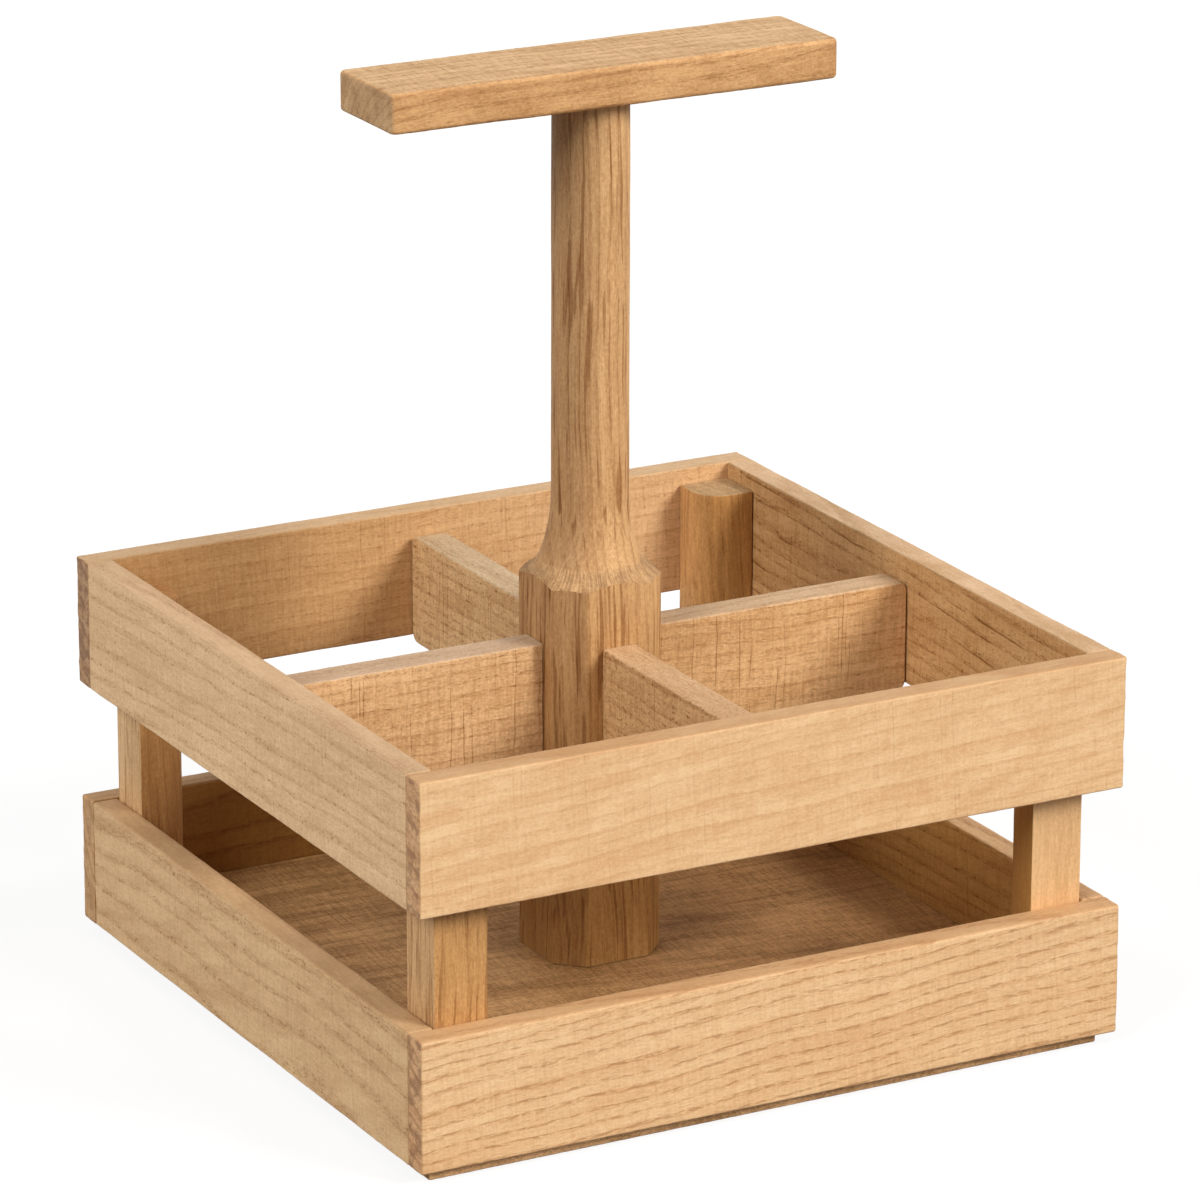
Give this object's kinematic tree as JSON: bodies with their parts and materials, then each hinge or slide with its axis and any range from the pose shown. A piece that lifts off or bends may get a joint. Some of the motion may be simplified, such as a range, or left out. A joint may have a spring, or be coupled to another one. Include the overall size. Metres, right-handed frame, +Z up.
{
  "type": "condiment caddy",
  "caption": "Square oak table caddy with two rings of rails on corner posts, a base board, dividers that make open compartments, and a central turned post with a flat carrying bar.",
  "frame": {"origin": "centre of the underside of the base board, on the table", "axes": "+X along the front from left to right, +Y from front to back, +Z up"},
  "size_m": [0.2, 0.2, 0.251],
  "materials": {
    "oak": "rough-sawn, lightly oiled",
    "dowel_beech": "plain",
    "screw_steel": "zinc-plated"
  },
  "bodies": {
    "root": {"base_board": "oak", "lower_rail_front": "oak", "lower_rail_back": "oak", "lower_rail_left": "oak", "lower_rail_right": "oak", "upper_rail_front": "oak", "upper_rail_back": "oak", "upper_rail_left": "oak", "upper_rail_right": "oak", "corner_post_front_left": "oak", "corner_post_front_right": "oak", "corner_post_back_left": "oak", "corner_post_back_right": "oak", "handle_post": "oak", "handle_bar": "oak", "divider_front": "oak", "divider_back": "oak", "divider_left": "oak", "divider_right": "oak", "rail_dowels": "dowel_beech", "divider_dowels": "dowel_beech", "corner_screws": "screw_steel", "post_screw": "screw_steel"}
  },
  "joints": []
}
